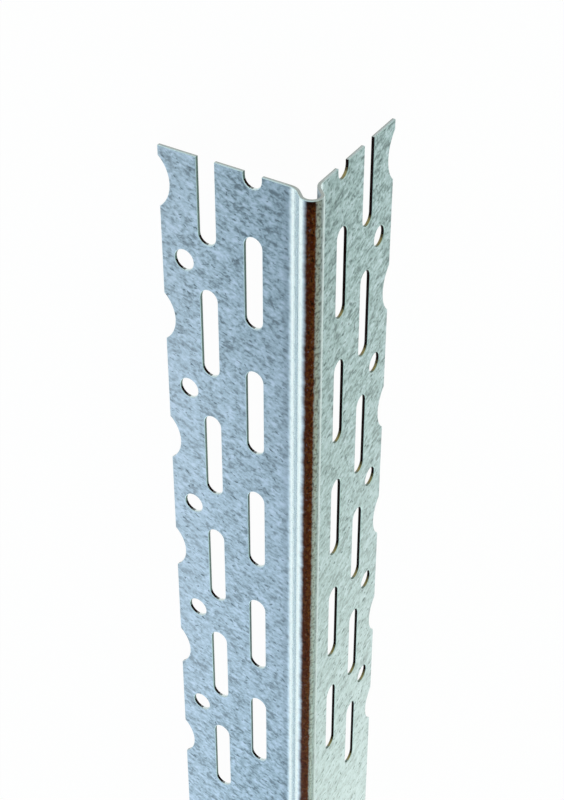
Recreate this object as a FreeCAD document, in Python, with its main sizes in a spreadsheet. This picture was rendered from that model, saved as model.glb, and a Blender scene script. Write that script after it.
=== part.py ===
# Galvanised drywall corner bead: one strip of sheet steel, punched, then rolled to a nose and two wings.
# It lies as it rests on a floor: nose up, on the free edges of its wings. X is across the bead,
# Y along it and Z up. The origin is on the floor under the middle of the bead.

import FreeCAD, Part
import math
import os
import Sketcher

# Driving dimensions: alias, value in millimetres (angles in degrees), what it is.
SIZES = [
    ("stock_length", 2400, "Length that the bead is sold in"),
    ("sheet_gauge", 0.6, "Thickness of the sheet"),
    ("wing_angle", 85.5, "Angle between the two wings, a little under a right angle so that they grip"),
    ("wing_width", 27.2, "Wing, from the corner where both outer faces would meet to its free edge"),
    ("nose_radius", 1.9, "Outer radius of the round nose"),
    ("nose_rise", 2.35, "Height of the nose above the corner where the outer faces would meet"),
    ("bend_radius", 2.3, "Outer radius of the hollow bend between wing and nose"),
    ("punch_pitch", 24, "Distance between one set of punched openings and the next"),
    ("group_sets", 6, "How many sets of openings one stroke of the press punches"),
    ("group_pitch", 160, "Distance between one group of sets and the next, with plain sheet between them"),
    ("end_margin", 6.35, "From the end that is cut first to the middle of the first outer slot"),
    ("punch_overtravel", 1, "How far the punch goes past the sheet's inner face"),
    ("slot_length", 16, "Overall length of a slot"),
    ("slot_width", 3.3, "Width of a slot"),
    ("inner_slot_line", 10.1, "From the corner to the middle of the slots beside the nose"),
    ("outer_slot_line", 18.5, "From the corner to the middle of the slots near the free edge"),
    ("nail_hole_line", 23, "From the corner to the middle of the nail holes"),
    ("nail_hole_width", 3.6, "Diameter of a nail hole"),
    ("notch_radius", 5.6, "Radius of the scallops in the free edges"),
    ("notch_depth", 2, "Depth of the scallops in the free edges"),
    ("notch_lead", 0.4, "How far a scallop's middle lies before the middle of the outer slot beside it"),
]
SIZE = {alias: value for alias, value, note in SIZES}

# Expressions that more than one feature needs.
LEAN = "sizes.wing_angle / 2 * 1 deg"
CORNER_HEIGHT = f"sizes.wing_width * cos({LEAN}) + sizes.sheet_gauge * sin({LEAN})"
GROUP_LENGTH = "(sizes.group_sets - 1) * sizes.punch_pitch"

# Ends of an edge, its centre, and the axes of a sketch, as the constraints number them.
START, END, CENTRE = 1, 2, 3
ACROSS_AXIS, UP_AXIS = -1, -2
SKETCH_ORIGIN = (-1, START)


def make_sheet(doc):
    """Spreadsheet with the driving dimensions."""
    sheet = doc.addObject("Spreadsheet::Sheet", "sizes")
    for row, (alias, value, note) in enumerate(SIZES, start=1):
        sheet.set(f"A{row}", note)
        sheet.set(f"B{row}", str(value))
        sheet.setAlias(f"B{row}", alias)
    doc.recompute()


def origin_feature(body, role):
    """Plane or axis of the body's own origin."""
    return next(feature for feature in body.Origin.OriginFeatures if feature.Role == role)


def bind(sketch, name, expression, *constraint):
    """Add a dimension to a sketch and tie it to the sheet."""
    index = sketch.addConstraint(Sketcher.Constraint(*constraint))
    sketch.renameConstraint(index, name)
    sketch.setExpression(f"Constraints.{name}", expression)


def relate(sketch, kind, *parts):
    """Add a geometric relation to a sketch."""
    sketch.addConstraint(Sketcher.Constraint(kind, *parts))


def arc(x, z, radius, first, last):
    """Arc from one angle to another, in degrees."""
    circle = Part.Circle(FreeCAD.Vector(x, z, 0), FreeCAD.Vector(0, 0, 1), radius)
    return Part.ArcOfCircle(circle, math.radians(first), math.radians(last))


def line(start, end):
    """Straight edge between two points of a sketch."""
    return Part.LineSegment(FreeCAD.Vector(*start, 0), FreeCAD.Vector(*end, 0))


def draw_half_section(sketch):
    """Right half of the rolled section: nose, flank, hollow bend and wing, one sheet thick."""
    lean = SIZE["wing_angle"] / 2
    sine, cosine = math.sin(math.radians(lean)), math.cos(math.radians(lean))
    gauge, nose, bend = SIZE["sheet_gauge"], SIZE["nose_radius"], SIZE["bend_radius"]
    width = SIZE["wing_width"]
    corner = width * cosine + gauge * sine
    nose_z = corner + SIZE["nose_rise"] - nose
    bend_x = nose + bend
    bend_z = corner + (bend - bend_x * cosine) / sine
    edge_outer = (width * sine, corner - width * cosine)
    edge_inner = (edge_outer[0] - gauge * cosine, 0)
    wing_outer = (bend_x - bend * cosine, bend_z - bend * sine)
    wing_inner = (wing_outer[0] - gauge * cosine, wing_outer[1] - gauge * sine)

    def add(geometry):
        return sketch.addGeometry(geometry, False)

    nose_out = add(arc(0, nose_z, nose, 0, 90))
    flank_out = add(line((nose, nose_z), (nose, bend_z)))
    bend_out = add(arc(bend_x, bend_z, bend, 180, 180 + lean))
    wing_out = add(line(edge_outer, wing_outer))
    free_edge = add(line(edge_outer, edge_inner))
    wing_in = add(line(edge_inner, wing_inner))
    bend_in = add(arc(bend_x, bend_z, bend + gauge, 180, 180 + lean))
    flank_in = add(line((nose - gauge, bend_z), (nose - gauge, nose_z)))
    nose_in = add(arc(0, nose_z, nose - gauge, 0, 90))
    middle = add(line((0, nose_z + nose - gauge), (0, nose_z + nose)))
    meeting = sketch.addGeometry(Part.Point(FreeCAD.Vector(0, corner, 0)), True)

    relate(sketch, "Tangent", nose_out, START, flank_out, START)
    relate(sketch, "Tangent", flank_out, END, bend_out, START)
    relate(sketch, "Tangent", bend_out, END, wing_out, END)
    relate(sketch, "Perpendicular", wing_out, START, free_edge, START)
    relate(sketch, "Perpendicular", free_edge, END, wing_in, START)
    relate(sketch, "Tangent", wing_in, END, bend_in, END)
    relate(sketch, "Tangent", bend_in, START, flank_in, START)
    relate(sketch, "Tangent", flank_in, END, nose_in, START)
    relate(sketch, "Coincident", nose_in, END, middle, START)
    relate(sketch, "Coincident", middle, END, nose_out, END)
    relate(sketch, "Coincident", nose_out, CENTRE, nose_in, CENTRE)
    relate(sketch, "Coincident", bend_out, CENTRE, bend_in, CENTRE)
    relate(sketch, "Vertical", flank_out)
    relate(sketch, "Vertical", flank_in)
    relate(sketch, "PointOnObject", nose_out, CENTRE, UP_AXIS)
    relate(sketch, "PointOnObject", middle, START, UP_AXIS)
    relate(sketch, "PointOnObject", middle, END, UP_AXIS)
    relate(sketch, "PointOnObject", meeting, START, UP_AXIS)
    relate(sketch, "PointOnObject", meeting, START, wing_out)
    relate(sketch, "PointOnObject", free_edge, END, ACROSS_AXIS)

    bind(sketch, "nose_round", "sizes.nose_radius", "Radius", nose_out, nose)
    bind(sketch, "bend_round", "sizes.bend_radius", "Radius", bend_out, bend)
    bind(sketch, "gauge", "sizes.sheet_gauge", "Distance", free_edge, gauge)
    bind(sketch, "width", "sizes.wing_width",
         "Distance", meeting, START, wing_out, START, width)
    bind(sketch, "slope", f"90 deg + {LEAN}", "Angle", wing_out, math.radians(90 + lean))
    bind(sketch, "rise", "sizes.nose_rise",
         "DistanceY", meeting, START, middle, END, SIZE["nose_rise"])


def draw_slot(sketch, name, across, along):
    """Round-ended slot along the bead, about a middle point that the caller places."""
    radius = SIZE["slot_width"] / 2
    reach = (SIZE["slot_length"] - SIZE["slot_width"]) / 2
    far = sketch.addGeometry(arc(across, along + reach, radius, 0, 180), False)
    near = sketch.addGeometry(arc(across, along - reach, radius, 180, 360), False)
    left = sketch.addGeometry(line((across - radius, along + reach), (across - radius, along - reach)), False)
    right = sketch.addGeometry(line((across + radius, along - reach), (across + radius, along + reach)), False)
    middle = sketch.addGeometry(Part.Point(FreeCAD.Vector(across, along, 0)), True)
    relate(sketch, "Tangent", far, END, left, START)
    relate(sketch, "Tangent", left, END, near, START)
    relate(sketch, "Tangent", near, END, right, START)
    relate(sketch, "Tangent", right, END, far, START)
    relate(sketch, "Equal", far, near)
    relate(sketch, "Vertical", far, CENTRE, near, CENTRE)
    relate(sketch, "Symmetric", far, CENTRE, near, CENTRE, middle, START)
    bind(sketch, f"{name}_width", "sizes.slot_width / 2", "Radius", far, radius)
    bind(sketch, f"{name}_length", "sizes.slot_length - sizes.slot_width",
         "DistanceY", near, CENTRE, far, CENTRE, 2 * reach)
    return middle


def draw_circle(sketch, name, across, along, radius, expression):
    """Circle whose middle the caller places."""
    centre = FreeCAD.Vector(across, along, 0)
    circle = sketch.addGeometry(Part.Circle(centre, FreeCAD.Vector(0, 0, 1), radius), False)
    bind(sketch, f"{name}_round", expression, "Radius", circle, radius)
    return circle


def draw_punch_set(sketch):
    """One pitch of openings in a wing: outer slot and scallop, and half a pitch back, inner slot and hole."""
    row_outer = SIZE["end_margin"]
    row_inner = row_outer - SIZE["punch_pitch"] / 2
    row_scallop = row_outer - SIZE["notch_lead"]
    scallop_line = SIZE["wing_width"] - SIZE["notch_depth"] + SIZE["notch_radius"]
    outer = draw_slot(sketch, "outer_slot", SIZE["outer_slot_line"], row_outer)
    inner = draw_slot(sketch, "inner_slot", SIZE["inner_slot_line"], row_inner)
    hole = draw_circle(sketch, "nail_hole", SIZE["nail_hole_line"], row_inner,
                       SIZE["nail_hole_width"] / 2, "sizes.nail_hole_width / 2")
    scallop = draw_circle(sketch, "scallop", scallop_line, row_scallop,
                          SIZE["notch_radius"], "sizes.notch_radius")
    relate(sketch, "Horizontal", inner, START, hole, CENTRE)
    bind(sketch, "outer_row", "sizes.end_margin", "DistanceY", *SKETCH_ORIGIN, outer, START, row_outer)
    bind(sketch, "stagger", "sizes.punch_pitch / 2",
         "DistanceY", inner, START, outer, START, SIZE["punch_pitch"] / 2)
    bind(sketch, "scallop_lead", "sizes.notch_lead",
         "DistanceY", scallop, CENTRE, outer, START, SIZE["notch_lead"])
    bind(sketch, "inner_line", "sizes.inner_slot_line",
         "DistanceX", *SKETCH_ORIGIN, inner, START, SIZE["inner_slot_line"])
    bind(sketch, "outer_line", "sizes.outer_slot_line",
         "DistanceX", *SKETCH_ORIGIN, outer, START, SIZE["outer_slot_line"])
    bind(sketch, "hole_line", "sizes.nail_hole_line",
         "DistanceX", *SKETCH_ORIGIN, hole, CENTRE, SIZE["nail_hole_line"])
    bind(sketch, "scallop_line", "sizes.wing_width - sizes.notch_depth + sizes.notch_radius",
         "DistanceX", *SKETCH_ORIGIN, scallop, CENTRE, scallop_line)


def roll_section(body):
    """Extrude the half section along Y and mirror it to the whole rolled strip."""
    sketch = body.newObject("Sketcher::SketchObject", "half_section")
    sketch.AttachmentSupport = [(origin_feature(body, "XZ_Plane"), "")]
    sketch.MapMode = "FlatFace"
    draw_half_section(sketch)
    pad = body.newObject("PartDesign::Pad", "rolled_half")
    pad.Profile = sketch
    pad.Reversed = True
    pad.setExpression("Length", "sizes.stock_length")
    both = body.newObject("PartDesign::Mirrored", "rolled_strip")
    both.Originals = [pad]
    both.MirrorPlane = (origin_feature(body, "YZ_Plane"), [""])
    body.Tip = both
    body.Document.recompute()


def punch_wings(body):
    """Punch one set of openings, then repeat it in the other wing, in its group and along the strip."""
    sketch = body.newObject("Sketcher::SketchObject", "punch_set")
    sketch.AttachmentSupport = [(origin_feature(body, "XY_Plane"), "")]
    sketch.MapMode = "FlatFace"
    sketch.AttachmentOffset = FreeCAD.Placement(
        FreeCAD.Vector(0, 0, SIZE["wing_width"]),
        FreeCAD.Rotation(FreeCAD.Vector(0, 1, 0), 90 - SIZE["wing_angle"] / 2))
    sketch.setExpression("AttachmentOffset.Base.z", CORNER_HEIGHT)
    sketch.setExpression("AttachmentOffset.Rotation.Angle", f"90 deg - {LEAN}")
    draw_punch_set(sketch)
    pocket = body.newObject("PartDesign::Pocket", "first_punch")
    pocket.Profile = sketch
    pocket.setExpression("Length", "sizes.sheet_gauge + sizes.punch_overtravel")
    body.Document.recompute()

    everywhere = body.newObject("PartDesign::MultiTransform", "punching")
    everywhere.Originals = [pocket]
    mirrored = body.newObject("PartDesign::Mirrored", "other_wing")
    mirrored.MirrorPlane = (origin_feature(body, "YZ_Plane"), [""])
    group = body.newObject("PartDesign::LinearPattern", "one_group")
    group.Direction = (origin_feature(body, "Y_Axis"), [""])
    group.setExpression("Occurrences", "sizes.group_sets")
    group.setExpression("Length", GROUP_LENGTH)
    along = body.newObject("PartDesign::LinearPattern", "along_strip")
    along.Direction = (origin_feature(body, "Y_Axis"), [""])
    last_group = (f"floor((sizes.stock_length - sizes.end_margin - ({GROUP_LENGTH}) - sizes.slot_length / 2)"
                  " / sizes.group_pitch)")
    along.setExpression("Occurrences", f"{last_group} + 1")
    along.setExpression("Length", f"{last_group} * sizes.group_pitch")
    everywhere.Transformations = [mirrored, group, along]
    everywhere.Refine = False
    body.Tip = everywhere
    body.Document.recompute()


def make_bead(doc):
    """The whole bead, moved so that its middle is over the origin."""
    body = doc.addObject("PartDesign::Body", "corner_bead")
    body.Label = "corner_bead"
    roll_section(body)
    punch_wings(body)
    body.setExpression("Placement.Base.y", "-sizes.stock_length / 2")
    doc.recompute()
    return body


def check(doc, bodies):
    """Stop if an object of the document failed or a shape isn't one valid solid."""
    for item in doc.Objects:
        if {"Invalid", "Error"} & set(item.State):
            raise RuntimeError(f"{item.Label} failed: {item.State}")
    for body in bodies:
        if body.Shape.isNull() or not body.Shape.isValid() or len(body.Shape.Solids) != 1:
            raise RuntimeError(f"{body.Label} is not one valid solid")


def main():
    doc = FreeCAD.newDocument("drywall_bead")
    make_sheet(doc)
    bodies = [make_bead(doc)]
    check(doc, bodies)
    os.makedirs("parts", exist_ok=True)
    for body in bodies:
        body.Shape.exportStep(f"parts/{body.Label}.step")
        box = body.Shape.BoundBox
        print(f"{body.Label}: {box.XLength:.2f} x {box.YLength:.2f} x {box.ZLength:.2f} mm, "
              f"volume {body.Shape.Volume:.0f} mm3")


main()
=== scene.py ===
"""Dresses the drywall corner bead: a punched, rolled strip of zinc-coated sheet, open side down."""

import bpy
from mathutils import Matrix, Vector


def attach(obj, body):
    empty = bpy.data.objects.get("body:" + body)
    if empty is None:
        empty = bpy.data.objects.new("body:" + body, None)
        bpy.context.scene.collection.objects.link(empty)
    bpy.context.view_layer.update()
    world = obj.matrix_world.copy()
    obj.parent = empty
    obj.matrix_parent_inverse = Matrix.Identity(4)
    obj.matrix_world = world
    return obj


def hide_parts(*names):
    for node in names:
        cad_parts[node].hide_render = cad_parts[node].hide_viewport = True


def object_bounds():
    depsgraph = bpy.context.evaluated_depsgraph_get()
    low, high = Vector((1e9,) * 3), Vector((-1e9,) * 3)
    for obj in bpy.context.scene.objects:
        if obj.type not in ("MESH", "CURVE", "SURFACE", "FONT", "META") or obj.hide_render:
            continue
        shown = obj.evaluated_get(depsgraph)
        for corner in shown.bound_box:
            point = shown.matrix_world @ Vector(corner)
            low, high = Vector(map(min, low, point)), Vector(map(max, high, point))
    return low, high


bl_info = {
    "name": "Drywall Corner Bead",
    "version": (1, 0, 0),
    "blender": (4, 5, 0),
    "location": "3D View > Sidebar > Corner Bead",
    "description": "Punches and rolls the sheet of a drywall corner bead and sets it on a pale floor",
    "category": "Object",
}

import math

import bpy
import numpy as np
from bpy.props import FloatProperty, FloatVectorProperty, IntProperty, PointerProperty
from mathutils import Matrix, Vector
from mathutils.geometry import delaunay_2d_cdt

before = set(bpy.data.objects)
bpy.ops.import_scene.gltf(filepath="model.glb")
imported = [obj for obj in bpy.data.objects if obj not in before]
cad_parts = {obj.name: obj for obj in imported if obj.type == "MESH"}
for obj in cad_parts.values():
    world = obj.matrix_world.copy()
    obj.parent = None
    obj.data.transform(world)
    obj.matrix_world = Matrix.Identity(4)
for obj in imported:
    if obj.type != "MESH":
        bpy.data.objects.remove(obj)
CAD_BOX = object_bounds()

NODE = "corner_bead"

MM = 1000.0  # the flat strip is marked out in millimetres
STRIP_PLACE = "strip_place"  # across, along and depth of a point on the flat strip
RIM = "rim"  # 1 on the rounded lip of a cut edge
NEAR_END = CAD_BOX[0].y * MM  # where the strip starts

# Cutting the strip
MERGE = 1e-6  # points closer than this are one
SLIVER = 1e-7  # triangles smaller than this are left out
EDGE_SLACK = 1e-3  # what lies this close to a free edge or end belongs to it
HOLLOW_ARC = math.radians(60.0)  # half the arc that is drawn of a hollow
HOLLOW_FLATS = 0.995  # how far in a hollow's flats lie, as a part of its radius
HOLLOW_WALL = 1.03  # what lies within this part of its radius is a hollow's own wall
MITRE_LIMIT = 0.5  # keeps a sharp corner from being offset too far
LIP_BELLY = 0.3  # how far down and in the middle of a lip lies
SHARP_TURN = math.radians(60.0)  # edges that turn more than this stay crisp

# Marks in the zinc: length and width in millimetres, place in the noise, and detail
STROKES = (1.42, 0.72, 0.0, 2.0)
DABS = (0.74, 0.52, 9.0, 1.0)
CLOUDS = (3.1, 1.9, 5.0, 3.5)
PITS = (1.15, 0.60, 23.0, 1.0)
STROKE_LEAN = math.radians(13.0)

# Places across the flat strip, in millimetres from its middle line; the brown streak, a painted
# reflection, is on the +X side
SIDES = (-1.0, 1.0)  # from the -X wing to the +X wing
PALE_LINE = (-2.75, -1.3)
CREST = (-1.52, 0.6)
CREST_TURN = (-0.35, -1.35)  # painted sheen: the crest gets paler from here to here
STREAK_CREST = (-0.30, 0.0)  # from the crest to the streak
STREAK_FADE = (2.15, 1.07)  # from the bright band to the streak
SWELL_EDGES = ((2.5, 3.2), (4.4, 5.1))  # steps at the sides of the dull line
DULL_LINE = (3.3, 4.35)
ROLLED_EDGE = (5.55, 6.55)  # from the bright bands, which hold painted highlight, to the wing
HEM = (6.3, 7.3)  # darker strip of wing beside the bend
NOSE_CUT = (8.0, 6.0)  # from the wing's cut end to the nose's
DULLED = (22.0, 6.5)  # the wing is duller towards the nose
CHALKY = (12.0, 32.0)  # and chalkier towards its free edge
WANDER = 0.66  # how far the borders on the nose stray

# Places along the strip and down through the sheet, in millimetres
PAINTED_LIGHT_ALONG = (NEAR_END - 30.0, NEAR_END + 220.0)  # from darker at the near end to paler further along, painted light
PALEST = (NEAR_END + 30.0, NEAR_END + 112.0)  # palest stretch of the +X wing, painted light
STREAK_START = (NEAR_END + 1.6, NEAR_END + 0.4)  # painted shadow: the streak blackens just below the cut end
OUTER_FACE = (0.45, 0.25)
SWELL = 0.07  # height of a step beside the dull line
GRAIN = 0.012  # height of the strokes
TEAR_DEPTH = 0.00004  # roughness of a torn wall, in metres

# Room light by direction: where it starts and ends to change, and the amounts there
TINT_TURN = (-0.7, 0.7)
FAR_LIGHT = (0.35, 0.85, 0.6, 1.45)
NEAR_LIGHT = (-0.40, -0.90, 0.0, 0.5)
OVERHEAD_LIGHT = (0.25, 0.75, 1.0, 0.6)
LAMP_PLACE = (1.8, 1.6, 1.7)  # out to the side, along and up, in metres
LAMP_SIZE = (4.0, 1.2)
PICTURE_TOP = Vector((0.0, -1.0, 0.0))  # the near end is at the top of the picture
CLIP_START = 0.005


def length(name, text, default):
    """A size in metres."""
    return FloatProperty(name=name, description=text, default=default, unit="LENGTH", precision=5)


def count(name, text, default, least):
    """A whole number."""
    return IntProperty(name=name, description=text, default=default, min=least)


def amount(name, text, default):
    """A plain number, not below 0."""
    return FloatProperty(name=name, description=text, default=default, min=0.0)


def colour(name, text, default):
    """A colour in linear light."""
    return FloatVectorProperty(
        name=name, description=text, default=default, subtype="COLOR", size=3, min=0.0, max=1.0
    )


def share(name, text, default):
    """A plain amount from 0 to 1."""
    return FloatProperty(
        name=name, description=text, default=default, min=0.0, max=1.0, subtype="FACTOR"
    )


class BeadSizes(bpy.types.PropertyGroup):
    """Sizes of the rolled section and its punching, the same as in the part's source."""

    stock_length: length("Stock length", "Length of the bead as sold", CAD_BOX[1].y - CAD_BOX[0].y)
    gauge: length("Sheet gauge", "Thickness of the zinc-coated sheet", 0.0006)
    wing_angle: FloatProperty(
        name="Wing angle", description="Angle between the two wings",
        default=math.radians(85.5), subtype="ANGLE",
    )
    wing_width: length("Wing width", "From the line where the wings would meet to the free edge", 0.0272)
    nose_radius: length("Nose radius", "Outer radius of the rounded nose", 0.0019)
    nose_rise: length("Nose rise", "Height of the nose above where the wings would meet", 0.00235)
    bend_radius: length("Bend radius", "Radius of the hollow bend from wing to nose", 0.0023)
    punch_pitch: length("Punch pitch", "Distance from one slot to the next in a row", 0.024)
    end_margin: length("End margin", "From the near end to the middle of the first outer slot", 0.00635)
    group_sets: count("Group sets", "Sets of openings in one group", 6, 1)
    group_pitch: length("Group pitch", "Distance from one group of openings to the next", 0.160)
    slot_length: length("Slot length", "Length of a round-ended slot", 0.016)
    slot_width: length("Slot width", "Width of a round-ended slot", 0.0033)
    inner_slot_line: length("Inner slot line", "Row of slots next to the nose", 0.0101)
    outer_slot_line: length("Outer slot line", "Row of slots next to the free edge", 0.0185)
    nail_hole_line: length("Nail hole line", "Row of nail holes", 0.023)
    nail_hole_width: length("Nail hole width", "Diameter of a nail hole", 0.0036)
    notch_radius: length("Notch radius", "Radius of the hollows along the free edge", 0.0056)
    notch_depth: length("Notch depth", "How far a hollow reaches into the wing", 0.002)
    notch_lead: length("Notch lead", "How far a hollow lies before the outer slot beside it", 0.0004)
    lip: length("Cut lip", "Rounding that the punch leaves on the outer face", 0.00011)
    lip_spread: amount("Lip spread", "How much wider the lip is at an opening's far end", 1.2)
    nose_steps: count("Nose steps", "Flats that make up half the nose", 12, 4)
    bend_steps: count("Bend steps", "Flats that make up one bend", 8, 3)
    round_steps: count("Round steps", "Flats in a slot's round end", 10, 4)


class ZincFinish(bpy.types.PropertyGroup):
    """Colours of the zinc coat, its wear and its cut edges, among them painted highlight, reflection,
    shade and shadow.
    """

    zinc: colour("Zinc", "Weathered zinc of the wings", (0.409, 0.527, 0.567))
    fleck: colour("Fleck", "Dark flecks in the zinc", (0.170, 0.226, 0.249))
    pit: colour("Pit", "Darkest dabs in the zinc", (0.116, 0.161, 0.177))
    bloom: colour("Bloom", "Pale bloom in the zinc", (0.584, 0.691, 0.769))
    # Chalk and grey chalk also paint the wings paler further along, which is painted light; towards the
    # free edges chalk is the zinc's own.
    chalk_and_light: colour("Chalk", "Chalky zinc towards the free edges and further along", (0.845, 0.927, 0.975))
    grey_chalk_and_light: colour("Grey chalk", "Powdery zinc down the -X wing", (0.885, 0.905, 1.00))
    # Burnish and flank are near-white: on the rolled zinc they hold painted highlight as well as the
    # rubbed zinc's own brightness.
    burnish_and_highlight: colour("Burnish", "Bends and nose sides, rubbed bright by the rolls", (0.84, 1.00, 1.00))
    flank: colour("Flank", "Dull line between the two bright bands", (0.92, 1.00, 1.00))
    # The brown streak is a painted reflection of something brown beside the nose, made to look like
    # rust.
    brown_reflection: colour("Stain", "Rust-brown streak along the nose", (0.072, 0.0120, 0.0025))
    # This colour also paints dark specks in the crest and streak, painted shade on the streak's +X side
    # and a painted shadow at the cut end.
    dark_specks_and_shade: colour("Dark stain", "Blackened patches of the brown streak", (0.0113, 0.0045, 0.0026))
    brown_reflection_pale: colour("Worn stain", "Paler, olive-brown patches of the streak", (0.136, 0.045, 0.0100))
    crest: colour("Crest", "Grey rubbed crest of the nose", (0.212, 0.200, 0.200))
    # This colour is painted sheen where the crest turns down, and the colour of pale specks in the crest
    # and streak.
    crest_specks_and_sheen: colour("Crest edge", "Crest where it turns down, rubbed paler", (0.268, 0.300, 0.338))
    # The pale line is painted highlight.
    pale_line: colour("Pale line", "Light line beyond the crest", (0.62, 0.76, 0.745))
    # The lip colour is painted highlight on the rounded lip of each cut, most where it faces the near
    # end.
    lip: colour("Lip", "Bright rounded lip of a cut", (0.80, 0.95, 0.95))
    punched: colour("Punched wall", "Bare steel in the openings of the +X wing", (0.225, 0.295, 0.270))
    # The colours of the openings below hold painted light and shade: the dark one is painted shade, the
    # golden one painted light on -X walls facing the near end, and the slot-end one a pale painted
    # reflection.
    painted_wall_shade: colour("Grime", "Dark dirt inside the openings", (0.018, 0.008, 0.007))
    wall_light: colour("Rust", "Golden rust on -X walls that face the near end", (0.29, 0.230, 0.098))
    wall_end_reflection: colour("Slot end", "Paler steel at the end of an opening", (0.86, 0.94, 0.92))
    sheared: colour("Sheared edge", "Steel of the cut ends and free edges", (0.55, 0.60, 0.60))
    torn: colour("Torn edge", "Brownish part of a cut where the sheet broke away", (0.30, 0.28, 0.24))
    metal: share("Metal", "How far the zinc of the wings mirrors what is round it", 0.75)


class StageLook(bpy.types.PropertyGroup):
    """Camera, lamps and floor."""

    eye: FloatVectorProperty(
        name="Camera place", description="Where the camera stands",
        default=(0.05136, -1.30885, 0.21613), subtype="TRANSLATION", unit="LENGTH", size=3, precision=5,
    )
    gaze: FloatVectorProperty(
        name="Camera gaze", description="Which way the camera looks",
        default=(-0.19059, 0.58118, -0.79114), subtype="DIRECTION", size=3, precision=5,
    )
    lens: FloatProperty(name="Lens", description="Focal length in millimetres", default=73.0, min=1.0)
    floor_size: length("Floor size", "Side of the square floor", 240.0)
    floor: colour("Floor", "Pale floor", (0.80, 0.80, 0.80))
    floor_glow: share("Floor white", "Part of the floor's white that shadows leave alone", 0.97)
    cool_sky: colour("Cool side", "Studio light from the +X side", (0.62, 0.72, 0.88))
    warm_sky: colour("Warm side", "Studio light from the -X side", (0.80, 0.96, 0.74))
    sky_level: amount("Room light", "Strength of the room's soft light", 1.45)
    lamp_level: amount("Lamps", "Power of each long lamp in watts", 20.0)


class Section:
    """The rolled section worked out from the sizes, in millimetres."""

    def __init__(self, size):
        self.length = size.stock_length * MM
        self.gauge = size.gauge * MM
        self.nose = size.nose_radius * MM
        self.bend = size.bend_radius * MM
        self.width = size.wing_width * MM
        self.turn = size.wing_angle / 2
        lean_x, lean_z = math.sin(self.turn), math.cos(self.turn)
        meeting = self.width * lean_z + self.gauge * lean_x
        self.nose_height = meeting + size.nose_rise * MM - self.nose
        centre = self.nose + self.bend
        bend_height = meeting + (self.bend - centre * lean_z) / lean_x
        start_x = centre - self.bend * lean_z
        start_z = bend_height - self.bend * lean_x - meeting
        self.wing_start = start_x * lean_x - start_z * lean_z
        self.nose_end = self.nose * math.pi / 2
        self.flank_end = self.nose_end + self.nose_height - bend_height
        self.bend_end = self.flank_end + self.bend * self.turn
        self.edge = self.bend_end + self.width - self.wing_start

    def across(self, line):
        """Place on the flat strip of a line measured along the wing from where the wings would meet."""
        return self.bend_end + line - self.wing_start

    def roll(self, strip):
        """Carries points (across, along, depth) of the flat strip to the rolled bead, in metres."""
        side = np.where(strip[:, 0] < 0, -1.0, 1.0)
        run = np.abs(strip[:, 0])
        nose = np.clip(run, 0, self.nose_end) / self.nose
        flank = np.clip(run - self.nose_end, 0, self.flank_end - self.nose_end)
        bend = np.clip(run - self.flank_end, 0, self.bend_end - self.flank_end) / self.bend
        wing = np.clip(run - self.bend_end, 0, None)
        x = self.nose * np.sin(nose) + self.bend * (1 - np.cos(bend)) + wing * math.sin(self.turn)
        z = self.nose_height + self.nose * np.cos(nose) - flank
        z = z - self.bend * np.sin(bend) - wing * math.cos(self.turn)
        lean = nose - bend
        x = side * (x - strip[:, 2] * np.sin(lean))
        z = z - strip[:, 2] * np.cos(lean)
        return np.column_stack([x, strip[:, 1], z]) / MM


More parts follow.
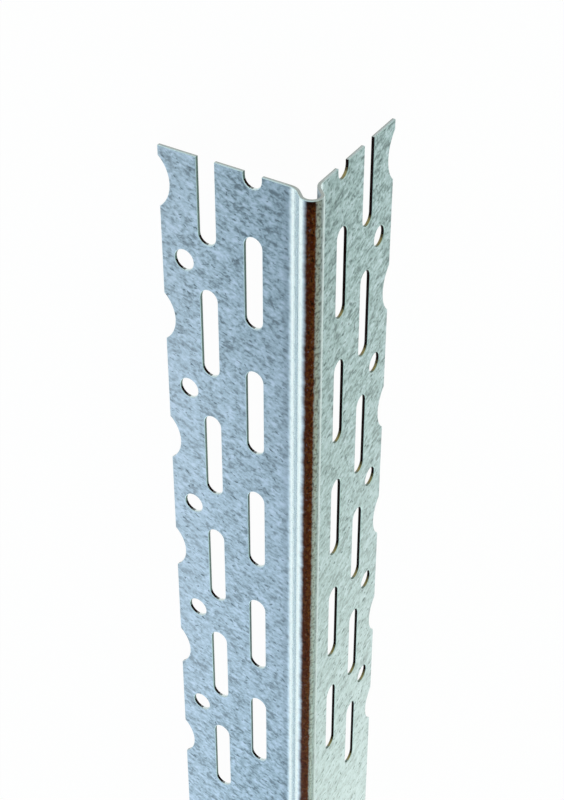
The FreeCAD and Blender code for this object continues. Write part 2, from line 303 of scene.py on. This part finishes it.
class Punching:
    """Where the openings lie on the flat strip, in millimetres."""

    def __init__(self, size, section):
        self.section = section
        self.pitch = size.punch_pitch * MM
        self.sets = size.group_sets
        self.group = size.group_pitch * MM
        self.first = -section.length / 2 + size.end_margin * MM
        self.slot_radius = size.slot_width * MM / 2
        self.slot_reach = size.slot_length * MM / 2 - self.slot_radius
        self.hole_radius = size.nail_hole_width * MM / 2
        self.notch_radius = size.notch_radius * MM
        self.notch_shift = -size.notch_lead * MM
        self.inner = section.across(size.inner_slot_line * MM)
        self.outer = section.across(size.outer_slot_line * MM)
        self.nails = section.across(size.nail_hole_line * MM)
        self.notches = section.edge + self.notch_radius - size.notch_depth * MM
        self.steps = size.round_steps

    def places(self, shift):
        """Middles along the strip of one row, in groups with plain sheet between them."""
        run = self.section.length / 2 - self.first - self.slot_reach - self.slot_radius
        groups = math.floor((run - (self.sets - 1) * self.pitch) / self.group) + 1
        return [
            self.first + shift + self.group * g + self.pitch * k
            for g in range(groups) for k in range(self.sets)
        ]

    def slot(self, across, along):
        half = [math.pi * k / self.steps for k in range(self.steps + 1)]
        near = [(math.pi + a, -self.slot_reach) for a in half]
        far = [(a, self.slot_reach) for a in half]
        return [
            (across + self.slot_radius * math.cos(a), along + reach + self.slot_radius * math.sin(a))
            for a, reach in near + far
        ]

    def hole(self, across, along):
        count = 2 * self.steps
        turns = [2 * math.pi * k / count for k in range(count)]
        return [
            (across + self.hole_radius * math.cos(a), along + self.hole_radius * math.sin(a))
            for a in turns
        ]

    def notch(self, across, along):
        """The part of a hollow that cuts into the wing, drawn on past the free edge."""
        inward = math.pi if across > 0 else 0.0
        flats = self.steps + 4
        turns = [inward + HOLLOW_ARC * (2 * k / flats - 1) for k in range(flats + 1)]
        return [
            (across + self.notch_radius * math.cos(a), along + self.notch_radius * math.sin(a))
            for a in turns
        ]

    def outlines(self):
        """Every outline on both wings, with a word on whether it closes on itself."""
        made = []
        half_pitch = -self.pitch / 2
        for side in (1, -1):
            for along in self.places(0.0):
                made.append((self.slot(side * self.outer, along), True))
                made.append((self.notch(side * self.notches, along + self.notch_shift), False))
            for along in self.places(half_pitch):
                made.append((self.slot(side * self.inner, along), True))
                made.append((self.hole(side * self.nails, along), True))
        return made

    def beside(self, along, shift):
        """Distance along the strip to the nearest middle of a row."""
        middles = np.array(self.places(shift))
        after = np.clip(np.searchsorted(middles, along), 1, len(middles) - 1)
        return np.minimum(np.abs(along - middles[after - 1]), np.abs(along - middles[after]))

    def cut_away(self, across, along):
        """True where the sheet is gone."""
        run = np.abs(across)
        even, odd = self.beside(along, 0.0), self.beside(along, -self.pitch / 2)
        chord = math.cos(math.pi / (2 * self.steps))
        slot = chord * self.slot_radius
        gone = (run > self.section.edge) | (np.abs(along) > self.section.length / 2)
        gone |= np.hypot(run - self.outer, np.clip(even - self.slot_reach, 0, None)) < slot
        gone |= np.hypot(run - self.inner, np.clip(odd - self.slot_reach, 0, None)) < slot
        gone |= np.hypot(run - self.nails, odd) < chord * self.hole_radius
        hollow = np.hypot(run - self.notches, self.beside(along, self.notch_shift))
        gone |= hollow < HOLLOW_FLATS * self.notch_radius
        return gone

    def on_opening(self, across, along):
        """True on the wall of a slot or nail hole, false on free edges, their hollows and cut ends."""
        run = np.abs(across)
        inside = run < self.section.edge - EDGE_SLACK
        inside &= np.abs(along) < self.section.length / 2 - EDGE_SLACK
        hollow = np.hypot(run - self.notches, self.beside(along, self.notch_shift))
        return inside & (hollow > HOLLOW_WALL * self.notch_radius)


def roll_lines(section, size):
    """Lines along the strip at which the nose and bends turn, from one free edge to the other."""
    nose = np.linspace(0, section.nose_end, size.nose_steps + 1)
    bend = np.linspace(section.flank_end, section.bend_end, size.bend_steps + 1)
    half = np.concatenate([nose, bend, [section.edge]])
    return np.concatenate([-half[:0:-1], half])


def flat_blank(section, punching, size):
    """Cuts the punched strip into triangles. Returns its points (across, along) and triangles."""
    points, edges = [], []

    def chain(path, closed):
        base = len(points)
        points.extend(Vector(p) for p in path)
        edges.extend((base + k, base + k + 1) for k in range(len(path) - 1))
        if closed:
            edges.append((base + len(path) - 1, base))

    ends = section.length / 2
    stations = np.linspace(-ends, ends, round(section.length / punching.pitch) + 1)
    lines = roll_lines(section, size)
    for across in lines:
        chain([(across, along) for along in stations], False)
    for along in (-ends, ends):
        chain([(across, along) for across in lines], False)
    for path, closed in punching.outlines():
        chain(path, closed)
    made = delaunay_2d_cdt(points, edges, [], 0, MERGE)
    flat = np.array([tuple(p) for p in made[0]])
    tris = np.array(made[2])
    middle = flat[tris].mean(axis=1)
    tris = tris[~punching.cut_away(middle[:, 0], middle[:, 1])]
    a, b, c = (flat[tris[:, k]] for k in range(3))
    ab, ac = b - a, c - a
    area = ab[:, 0] * ac[:, 1] - ab[:, 1] * ac[:, 0]
    whole = np.abs(area) > SLIVER
    tris, area = tris[whole], area[whole]
    tris[area < 0] = tris[area < 0][:, ::-1]
    used, back = np.unique(tris, return_inverse=True)
    return flat[used], back.reshape(-1, 3)


def cut_edges(tris):
    """Directed edges with sheet on their left and nothing on their right."""
    edges = np.concatenate([tris[:, [0, 1]], tris[:, [1, 2]], tris[:, [2, 0]]])
    there = set(map(tuple, edges.tolist()))
    return np.array([e for e in edges.tolist() if (e[1], e[0]) not in there])


def outward(flat, edges):
    """For each point on a cut, the way out of the sheet, long enough to offset both its edges alike."""
    step = flat[edges[:, 1]] - flat[edges[:, 0]]
    step /= np.linalg.norm(step, axis=1)[:, None]
    normal = np.column_stack([step[:, 1], -step[:, 0]])
    before, after = np.zeros_like(flat), np.zeros_like(flat)
    before[edges[:, 1]] = normal
    after[edges[:, 0]] = normal
    both = before + after
    spread = 1 + (before * after).sum(axis=1)
    return both / np.maximum(spread, MITRE_LIMIT)[:, None]


def bead_mesh(size):
    """The rolled sheet as one closed mesh with a rounded lip on the outer edge of every cut."""
    section = Section(size)
    punching = Punching(size, section)
    flat, tris = flat_blank(section, punching, size)
    edges = cut_edges(tris)
    out = outward(flat, edges)
    rim = np.unique(edges)
    order = np.full(len(flat), -1)
    order[rim] = np.arange(len(rim))
    lip = size.lip * MM
    opening = punching.on_opening(flat[:, 0], flat[:, 1])
    pulled = np.where(opening, np.clip(-out[:, 1], 0.0, 1.0), 0.0)
    inset = (lip * (1 + size.lip_spread * pulled))[:, None] * out

    def layer(which, part, depth):
        return np.column_stack([flat[which] - part * inset[which], np.full(len(which), depth)])

    everything = np.arange(len(flat))
    layers = [
        layer(everything, 1.0, 0.0),
        layer(rim, LIP_BELLY, LIP_BELLY * lip),
        layer(rim, 0.0, lip),
        layer(everything, 0.0, section.gauge),
    ]
    starts = np.cumsum([0] + [len(part) for part in layers])
    i, j = edges[:, 0], edges[:, 1]
    rows = [
        (i, j),
        (starts[1] + order[i], starts[1] + order[j]),
        (starts[2] + order[i], starts[2] + order[j]),
        (starts[3] + i, starts[3] + j),
    ]
    quads = [np.column_stack([up[0], low[0], low[1], up[1]]) for up, low in zip(rows, rows[1:])]
    faces = tris.tolist() + (starts[3] + tris[:, ::-1]).tolist()
    for strip in quads:
        faces += strip.tolist()
    middle = (flat[i] + flat[j]) / 2
    wall = np.where(punching.on_opening(middle[:, 0], middle[:, 1]), 1, 2)
    finish = np.concatenate([np.zeros(2 * len(tris) + 2 * len(edges), int), wall])

    strip = np.concatenate(layers)
    mesh = bpy.data.meshes.new("rolled_bead")
    mesh.from_pydata(section.roll(strip).tolist(), [], faces)
    mesh.polygons.foreach_set("material_index", finish.astype(np.int32))
    mesh.polygons.foreach_set("use_smooth", np.ones(len(faces), bool))
    mesh.attributes.new(STRIP_PLACE, "FLOAT_VECTOR", "POINT").data.foreach_set(
        "vector", strip.astype(np.float32).ravel()
    )
    lips = np.zeros(len(strip), np.float32)
    lips[starts[1]:starts[3]] = 1.0
    mesh.attributes.new(RIM, "FLOAT", "POINT").data.foreach_set("value", lips)
    if mesh.validate():
        raise RuntimeError("the rolled sheet has faces that Blender had to repair")
    mesh.set_sharp_from_angle(angle=SHARP_TURN)
    return mesh


class Nodes:
    """Short ways to add nodes to a material or to the room."""

    def __init__(self, tree):
        self.nodes = tree.nodes
        self.links = tree.links

    def put(self, socket, value):
        """Links a node's output, or sets a plain value."""
        if isinstance(value, bpy.types.NodeSocket):
            self.links.new(value, socket)
        elif socket.type == "RGBA":
            socket.default_value = (*value, 1.0)
        else:
            socket.default_value = value

    def fill(self, sockets, values):
        """Puts one value after the other."""
        for socket, value in zip(sockets, values):
            self.put(socket, value)

    def split(self, vector):
        node = self.nodes.new("ShaderNodeSeparateXYZ")
        self.put(node.inputs[0], vector)
        return tuple(node.outputs)

    def join(self, x, y, z):
        node = self.nodes.new("ShaderNodeCombineXYZ")
        self.fill(node.inputs, (x, y, z))
        return node.outputs[0]

    def sum(self, kind, first, second=0.0, third=0.0):
        node = self.nodes.new("ShaderNodeMath")
        node.operation = kind
        self.fill(node.inputs, (first, second, third))
        return node.outputs[0]

    def times(self, first, second):
        return self.sum("MULTIPLY", first, second)

    def plus(self, base, value, part=1.0):
        """The base with a part of the value added."""
        return self.sum("MULTIPLY_ADD", value, part, base)

    def noise(self, place, detail, rough, warp=0.0):
        node = self.nodes.new("ShaderNodeTexNoise")
        self.put(node.inputs["Vector"], place)
        node.inputs["Scale"].default_value = 1.0
        node.inputs["Detail"].default_value = detail
        node.inputs["Roughness"].default_value = rough
        node.inputs["Distortion"].default_value = warp
        return node.outputs["Fac"]

    def rise(self, value, low, high, bottom=0.0, top=1.0):
        """Soft step of a value from low to high."""
        node = self.nodes.new("ShaderNodeMapRange")
        node.interpolation_type = "SMOOTHSTEP"
        self.fill(node.inputs, (value, low, high, bottom, top))
        return node.outputs[0]

    def band(self, value, low, high, soft):
        """1 between low and high, with soft edges."""
        up = self.rise(value, low - soft, low + soft)
        down = self.rise(value, high - soft, high + soft, 1.0, 0.0)
        return self.times(up, down)

    def blend(self, amount, first, second):
        """A colour from first to second."""
        node = self.nodes.new("ShaderNodeMix")
        node.data_type = "RGBA"
        self.fill((node.inputs[0], node.inputs[6], node.inputs[7]), (amount, first, second))
        return node.outputs[2]

    def between(self, amount, first, second):
        """A number from first to second."""
        node = self.nodes.new("ShaderNodeMix")
        self.fill((node.inputs[0], node.inputs[2], node.inputs[3]), (amount, first, second))
        return node.outputs[0]


class Finish(Nodes):
    """A material of the bead or of the floor."""

    def __init__(self, name):
        self.material = bpy.data.materials.new(name)
        self.material.use_nodes = True
        super().__init__(self.material.node_tree)
        self.shader = self.nodes["Principled BSDF"]

    def own(self, name, output):
        """A value that the mesh carries."""
        node = self.nodes.new("ShaderNodeAttribute")
        node.attribute_name = name
        return node.outputs[output]

    def strip(self):
        """Across, along and depth on the flat strip."""
        return self.split(self.own(STRIP_PLACE, "Vector"))

    def speckle(self, strip, over, down, detail, rough, warp=0.0):
        """Noise on the flat strip, with its own fineness across and along it."""
        across, along, layer = strip
        place = self.join(self.times(across, over), self.times(along, down), layer)
        return self.noise(place, detail, rough, warp)

    def clean(self, along):
        """0 at the near end, rising to 1 further along; the zinc is painted paler there, which is
        painted light.
        """
        return self.rise(along, *PAINTED_LIGHT_ALONG)

    def facing(self):
        """How far a face looks at the near end, and how far it looks out or down, away from the nose."""
        own_way = self.nodes.new("ShaderNodeVectorTransform")
        own_way.vector_type = "NORMAL"
        own_way.convert_from, own_way.convert_to = "WORLD", "OBJECT"
        self.put(own_way.inputs[0], self.nodes.new("ShaderNodeNewGeometry").outputs["True Normal"])
        x, y, z = self.split(own_way.outputs[0])
        sideways = self.times(x, self.sum("SIGN", self.strip()[0]))
        away = self.times(self.sum("SUBTRACT", sideways, z), math.sqrt(0.5))
        return self.times(y, -1.0), away

    def dress(self, colour, metal, rough):
        """Sets the shader's colour, metal and roughness."""
        sockets = [self.shader.inputs[name] for name in ("Base Color", "Metallic", "Roughness")]
        self.fill(sockets, (colour, metal, rough))

    def bump(self, height, strength, distance):
        node = self.nodes.new("ShaderNodeBump")
        node.inputs["Strength"].default_value = strength
        node.inputs["Distance"].default_value = distance
        self.put(node.inputs["Height"], height)
        self.put(self.shader.inputs["Normal"], node.outputs[0])


def wing_coat(zinc, look, across, along, depth):
    """Weathered zinc of the wings: dark strokes and dabs laid across the strip, over soft clouds."""
    run = zinc.sum("ABSOLUTE", across)
    side = zinc.sum("GREATER_THAN", across, 0.0)
    layer = zinc.plus(zinc.times(depth, 41.0), side, 37.0)  # each wing and face has marks of its own
    lean_x, lean_y = math.sin(STROKE_LEAN), math.cos(STROKE_LEAN)
    with_stroke = zinc.plus(zinc.times(run, -lean_y), along, lean_x)
    over_stroke = zinc.plus(zinc.times(run, lean_x), along, lean_y)

    def dashes(long, wide, shift, detail):
        place = zinc.join(
            zinc.times(with_stroke, 1 / long),
            zinc.times(over_stroke, 1 / wide),
            zinc.plus(layer, shift),
        )
        return zinc.noise(place, detail, 0.6, 0.5)

    strokes, dabs, clouds, pits = (dashes(*mark) for mark in (STROKES, DABS, CLOUDS, PITS))
    clean = zinc.clean(along)
    soft = zinc.times(clean, zinc.between(side, 1.0, 0.0))
    tone = zinc.times(clouds, zinc.between(soft, 0.46, 0.68))
    tone = zinc.plus(tone, strokes, zinc.between(soft, 0.46, 0.30))
    tone = zinc.plus(tone, dabs, zinc.between(soft, 0.32, 0.26))
    coat = zinc.blend(zinc.rise(tone, 0.475, 0.645), look.fleck, look.zinc)
    coat = zinc.blend(zinc.rise(tone, 0.60, 0.78), coat, look.bloom)
    even = zinc.times(clean, zinc.between(side, 0.0, 0.15))
    coat = zinc.blend(even, coat, look.zinc)
    dulled = zinc.times(zinc.rise(run, *DULLED), zinc.between(clean, 0.26, 0.03))
    dulled = zinc.times(dulled, zinc.between(side, 0.55, 1.0))
    hem = zinc.times(zinc.band(run, *HEM, 0.5), side)
    coat = zinc.blend(zinc.plus(dulled, hem, 0.25), coat, look.fleck)
    # Painted light: the wings turn paler further along, the -X wing most; only the part towards the free
    # edges is chalky zinc.
    palest = zinc.band(along, *PALEST, 18.0)
    chalk_and_light_share = zinc.between(side, zinc.times(clean, 0.72), zinc.times(palest, 0.11))
    chalk_and_light_share = zinc.plus(chalk_and_light_share, zinc.rise(run, *CHALKY), zinc.between(side, 0.02, 0.18))
    coat = zinc.blend(chalk_and_light_share, coat, zinc.blend(side, look.grey_chalk_and_light, look.chalk_and_light))
    pitted = zinc.rise(pits, zinc.between(side, 0.59, 0.635), 0.73, 0.0, 0.8)
    return zinc.blend(pitted, coat, look.pit), tone, strokes, dabs


def nose_coat(zinc, look, coat, across, along, depth):
    """Bends and nose: bright rolled bands of painted highlight, a brown streak of painted reflection, a
    grey crest with painted sheen where it turns down, and a pale line of painted highlight beyond it.
    """
    wander = zinc.speckle((across, along, 8.0), 0.35, 0.7, 4.0, 0.65)
    shift = zinc.plus(-WANDER / 2, wander, WANDER)
    line = zinc.plus(across, shift)
    reach = zinc.plus(zinc.sum("ABSOLUTE", across), shift)
    strip = (across, along, depth)
    streaks = zinc.speckle(strip, 4.0, 0.5, 4.0, 0.6, 0.3)
    patches = zinc.speckle(strip, 1.5, 1.2, 4.0, 0.66, 0.5)
    specks = zinc.speckle(strip, 2.0, 1.6, 1.5, 0.6, 0.3)

    outer = zinc.rise(depth, *OUTER_FACE)
    # Painted highlight: the rolled zinc beside the nose is near-white as well as smoother.
    rolled = zinc.times(zinc.rise(reach, *ROLLED_EDGE, 1.0, 0.0), outer)
    shine = zinc.blend(zinc.rise(streaks, 0.25, 0.6), look.flank, look.burnish_and_highlight)
    dull = zinc.times(zinc.band(reach, *DULL_LINE, 0.3), zinc.rise(streaks, 0.3, 0.65, 1.0, 0.6))
    shine = zinc.blend(dull, shine, look.flank)
    shine = zinc.blend(zinc.rise(patches, 0.48, 0.36, 0.0, 0.25), shine, look.zinc)
    coat = zinc.blend(rolled, coat, shine)

    # Painted highlight: a pale line beyond the crest.
    pale = zinc.times(zinc.band(line, *PALE_LINE, 0.25), outer)
    coat = zinc.blend(pale, coat, look.pale_line)
    clean = zinc.clean(along)
    crest = zinc.times(zinc.band(line, *CREST, 0.42), outer)
    # Painted sheen: the crest grows paler where it turns down and further along.
    lighter = zinc.plus(zinc.rise(line, *CREST_TURN), zinc.rise(patches, 0.38, 0.66, -0.25, 0.2))
    lighter = zinc.plus(lighter, clean, 0.75)
    crest_tone = zinc.blend(lighter, look.crest, look.crest_specks_and_sheen)
    dark = zinc.rise(specks, 0.52, 0.38, 0.0, zinc.between(clean, 0.6, 0.3))
    crest_tone = zinc.blend(dark, crest_tone, look.dark_specks_and_shade)
    light = zinc.rise(specks, 0.54, 0.68, 0.0, zinc.between(clean, 0.35, 0.1))
    crest_tone = zinc.blend(light, crest_tone, look.crest_specks_and_sheen)
    coat = zinc.blend(crest, coat, crest_tone)

    # The brown streak along the nose is a painted reflection.
    faded = zinc.times(zinc.rise(line, *STREAK_FADE), outer)
    brown_reflection = zinc.times(faded, zinc.rise(line, *STREAK_CREST))
    brown_reflection_tone = zinc.blend(zinc.rise(patches, 0.44, 0.64), look.brown_reflection, look.brown_reflection_pale)
    for amount, tint in (
        (zinc.rise(specks, 0.44, 0.34, 0.0, 0.85), look.dark_specks_and_shade),
        # Painted shade: darker towards the +X side, where a lamp's glint would lighten the streak.
        (zinc.rise(line, 0.1, 1.2, 0.0, 0.55), look.dark_specks_and_shade),
        (zinc.rise(specks, 0.61, 0.72, 0.0, 0.15), look.crest_specks_and_sheen),
        (zinc.times(clean, 0.12), look.brown_reflection_pale),
        # Painted shadow just below the cut end.
        (zinc.rise(along, *STREAK_START, 0.0, 0.8), look.dark_specks_and_shade),
    ):
        brown_reflection_tone = zinc.blend(amount, brown_reflection_tone, tint)
    coat = zinc.blend(brown_reflection, coat, brown_reflection_tone)
    return coat, reach, rolled, dull, streaks, zinc.sum("MAXIMUM", brown_reflection, crest)


def zinc_finish(look):
    """Weathered zinc with dark strokes, bright bands of painted highlight beside the nose and a brown
    streak of painted reflection along it.
    """
    zinc = Finish("zinc_coat")
    across, along, depth = zinc.strip()
    coat, tone, strokes, dabs = wing_coat(zinc, look, across, along, depth)
    coat, reach, rolled, dull, streaks, streak_and_crest = nose_coat(zinc, look, coat, across, along, depth)
    rim = zinc.own(RIM, "Fac")
    # Painted highlight: the rounded lips turn near-white, most where they face the near end.
    turned = zinc.rise(zinc.facing()[0], 0.1, 0.45)
    lip = zinc.times(rim, zinc.rise(strokes, 0.2, 0.6, 0.4, 1.0))
    lip = zinc.sum("MAXIMUM", lip, zinc.times(rim, turned))
    lip = zinc.times(lip, zinc.rise(across, *SIDES, 0.4, 1.0))
    metal = zinc.between(streak_and_crest, zinc.between(dull, 0.95, 0.28), 1.0)
    metal = zinc.between(rolled, look.metal, metal)
    metal = zinc.between(zinc.times(lip, turned), metal, 0.1)
    matt = zinc.rise(tone, 0.45, 0.80, 0.60, 0.46)
    slick = zinc.plus(zinc.rise(streaks, 0.3, 0.7, 0.34, 0.22), streak_and_crest, 0.15)
    zinc.dress(zinc.blend(lip, coat, look.lip), metal, zinc.between(rolled, matt, slick))
    steps = [zinc.rise(reach, *edge, 0.0, SWELL) for edge in SWELL_EDGES]
    grain = zinc.plus(strokes, dabs, 0.6)
    zinc.bump(zinc.plus(zinc.plus(*steps), grain, GRAIN), 1.0, 1 / MM)
    return zinc.material


def punched_finish(look):
    """Torn steel inside the openings, with painted shade that makes it blackest in the -X wing and just
    before a wall faces the near end.

    There painted light turns it golden in the -X wing, with a grey tip, and a pale painted reflection
    turns it to pale steel in the +X wing.
    """
    wall = Finish("punched_steel")
    strip = wall.strip()
    tear = wall.speckle(strip, 3.0, 3.0, 3.0, 0.6)
    near, away = (wall.plus(wall.sum("SUBTRACT", way, 0.15), tear, 0.3) for way in wall.facing())
    plus_x = wall.rise(strip[0], *SIDES)
    # Painted shade: walls of the -X wing, and walls just before they face the near end, are blackened.
    coat = wall.blend(plus_x, look.painted_wall_shade, look.punched)
    coat = wall.blend(wall.rise(near, 0.18, 0.46), coat, look.painted_wall_shade)
    # Painted light: golden on -X walls that face the near end.
    wall_light_share = wall.times(wall.rise(near, 0.34, 0.58), wall.sum("SUBTRACT", 1.0, plus_x))
    coat = wall.blend(wall_light_share, coat, look.wall_light)
    # Painted reflection: the ends of the openings turn pale in the +X wing and grey in the -X wing.
    end = wall.times(wall.rise(near, 0.4, 0.7), wall.rise(away, -0.30, 0.20))
    coat = wall.blend(end, coat, wall.blend(plus_x, look.punched, look.wall_end_reflection))
    wall.dress(coat, wall.rise(tear, 0.3, 0.7, 0.9, 0.8), wall.rise(tear, 0.3, 0.7, 0.55, 0.4))
    wall.shader.inputs["Specular IOR Level"].default_value = 0.2
    wall.bump(tear, 0.4, TEAR_DEPTH)
    return wall.material


def sheared_finish(look):
    """Pale steel of the cut ends and free edges, brownish where the sheet broke away and at the nose."""
    cut = Finish("sheared_steel")
    strip = cut.strip()
    tear = cut.speckle(strip, 2.0, 2.0, 3.0, 0.6)
    torn = cut.rise(cut.plus(strip[2], tear, 0.3), 0.40, 0.70)
    coat = cut.blend(cut.rise(tear, 0.45, 0.75), look.sheared, look.zinc)
    rough_cut = cut.rise(cut.sum("ABSOLUTE", strip[0]), *NOSE_CUT, 0.0, 0.45)
    coat = cut.blend(cut.sum("MAXIMUM", cut.times(torn, 0.6), rough_cut), coat, look.torn)
    cut.dress(coat, cut.rise(tear, 0.3, 0.7, 0.6, 0.4), cut.rise(tear, 0.3, 0.7, 0.55, 0.4))
    cut.bump(tear, 0.4, TEAR_DEPTH)
    return cut.material


def floor_finish(look):
    """Pale floor that the camera and the metal see as white, but for a soft shadow."""
    floor = Finish("pale_floor")
    floor.nodes.remove(floor.shader)
    path = floor.nodes.new("ShaderNodeLightPath")
    seen = path.outputs["Is Camera Ray"]
    for ray in ("Is Glossy Ray", "Is Transmission Ray"):
        seen = floor.sum("MAXIMUM", seen, path.outputs[ray])
    dull = floor.nodes.new("ShaderNodeBsdfDiffuse")
    floor.put(dull.inputs["Color"], look.floor)
    glow = floor.nodes.new("ShaderNodeEmission")
    glow.inputs["Strength"].default_value = look.floor_glow
    faint = floor.nodes.new("ShaderNodeBsdfDiffuse")
    floor.put(faint.inputs["Color"], [1.0 - look.floor_glow] * 3)
    white = floor.nodes.new("ShaderNodeAddShader")
    floor.fill(white.inputs, (glow.outputs[0], faint.outputs[0]))
    mix = floor.nodes.new("ShaderNodeMixShader")
    floor.fill(mix.inputs, (seen, dull.outputs[0], white.outputs[0]))
    floor.put(floor.nodes["Material Output"].inputs["Surface"], mix.outputs[0])
    return floor.material


def set_room(scene, look):
    """Soft light from all round: cool on the +X side, warm on the -X side.

    It is brighter towards both ends of the bead and weaker overhead.
    """
    world = bpy.data.worlds.new("studio_room")
    world.use_nodes = True
    room = Nodes(world.node_tree)
    x, y, z = room.split(room.nodes.new("ShaderNodeTexCoord").outputs["Generated"])
    tint = room.blend(room.rise(x, *TINT_TURN), look.warm_sky, look.cool_sky)
    level = room.plus(room.rise(y, *FAR_LIGHT), room.rise(y, *NEAR_LIGHT))
    level = room.times(level, room.rise(z, *OVERHEAD_LIGHT))
    background = room.nodes["Background"]
    room.put(background.inputs["Color"], tint)
    room.put(background.inputs["Strength"], room.times(level, look.sky_level))
    scene.world = world


def hang_lamp(scene, name, side, power, tint):
    """A long soft lamp beside the bead, turned to shine down across it."""
    lamp = bpy.data.lights.new(name, "AREA")
    lamp.shape = "RECTANGLE"
    lamp.size, lamp.size_y = LAMP_SIZE
    lamp.energy, lamp.color = power, tint
    out, along, up = LAMP_PLACE
    hung = bpy.data.objects.new(name, lamp)
    hung.location = (side * out, along, up)
    hung.rotation_euler = Vector((-side * out, 0.0, -up)).to_track_quat("-Z", "Y").to_euler()
    scene.collection.objects.link(hung)


class BEAD_OT_roll_strip(bpy.types.Operator):
    """Punch the flat strip, roll it to the bead's section and give it its zinc finish"""

    bl_idname = "bead.roll_strip"
    bl_label = "Roll the bead"

    def execute(self, context):
        scene = context.scene
        mesh = bead_mesh(scene.bead_sizes)
        look = scene.bead_finish
        for material in (zinc_finish(look), punched_finish(look), sheared_finish(look)):
            mesh.materials.append(material)
        piece = bpy.data.objects.new("rolled_bead", mesh)
        scene.collection.objects.link(piece)
        even = piece.modifiers.new("even_normals", "WEIGHTED_NORMAL")
        even.keep_sharp = True
        even.weight = 90  # large faces lead
        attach(piece, "root")
        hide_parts(NODE)
        return {"FINISHED"}


class BEAD_OT_set_stage(bpy.types.Operator):
    """Lay the pale floor, hang the lamps and stand the camera"""

    bl_idname = "bead.set_stage"
    bl_label = "Set the stage"

    def execute(self, context):
        scene = context.scene
        look = scene.bead_stage
        half = look.floor_size / 2
        mesh = bpy.data.meshes.new("floor")
        corners = [(-half, -half, 0.0), (half, -half, 0.0), (half, half, 0.0), (-half, half, 0.0)]
        mesh.from_pydata(corners, [], [(0, 1, 2, 3)])
        mesh.materials.append(floor_finish(look))
        floor = bpy.data.objects.new("floor", mesh)
        scene.collection.objects.link(floor)

        set_room(scene, look)
        hang_lamp(scene, "cool_lamp", 1, look.lamp_level, look.cool_sky)
        hang_lamp(scene, "warm_lamp", -1, look.lamp_level, look.warm_sky)

        camera = bpy.data.cameras.new("camera")
        camera.lens = look.lens
        camera.clip_start = CLIP_START
        stand = bpy.data.objects.new("camera", camera)
        gaze = Vector(look.gaze).normalized()
        right = gaze.cross(PICTURE_TOP).normalized()
        turned = Matrix((right, right.cross(gaze), -gaze)).transposed().to_4x4()
        stand.matrix_world = Matrix.Translation(look.eye) @ turned
        scene.collection.objects.link(stand)
        scene.camera = stand
        scene.view_settings.view_transform = "Standard"
        return {"FINISHED"}


class BEAD_PT_sidebar(bpy.types.Panel):
    """Sizes, finish and stage of the corner bead"""

    bl_idname = "BEAD_PT_sidebar"
    bl_label = "Corner Bead"
    bl_space_type = "VIEW_3D"
    bl_region_type = "UI"
    bl_category = "Corner Bead"

    def draw(self, context):
        layout = self.layout
        for step in STEPS:
            layout.operator(step.bl_idname)
        for group in (context.scene.bead_sizes, context.scene.bead_finish, context.scene.bead_stage):
            box = layout.box()
            for name in group.__annotations__:
                box.prop(group, name)


STEPS = (BEAD_OT_roll_strip, BEAD_OT_set_stage)
GROUPS = {"bead_sizes": BeadSizes, "bead_finish": ZincFinish, "bead_stage": StageLook}
CLASSES = (*GROUPS.values(), *STEPS, BEAD_PT_sidebar)


def register():
    for made in CLASSES:
        bpy.utils.register_class(made)
    for name, group in GROUPS.items():
        setattr(bpy.types.Scene, name, PointerProperty(type=group))


def unregister():
    for name in GROUPS:
        delattr(bpy.types.Scene, name)
    for made in reversed(CLASSES):
        bpy.utils.unregister_class(made)


def main():
    register()
    bpy.ops.bead.roll_strip()
    bpy.ops.bead.set_stage()


if __name__ == "__main__":
    main()
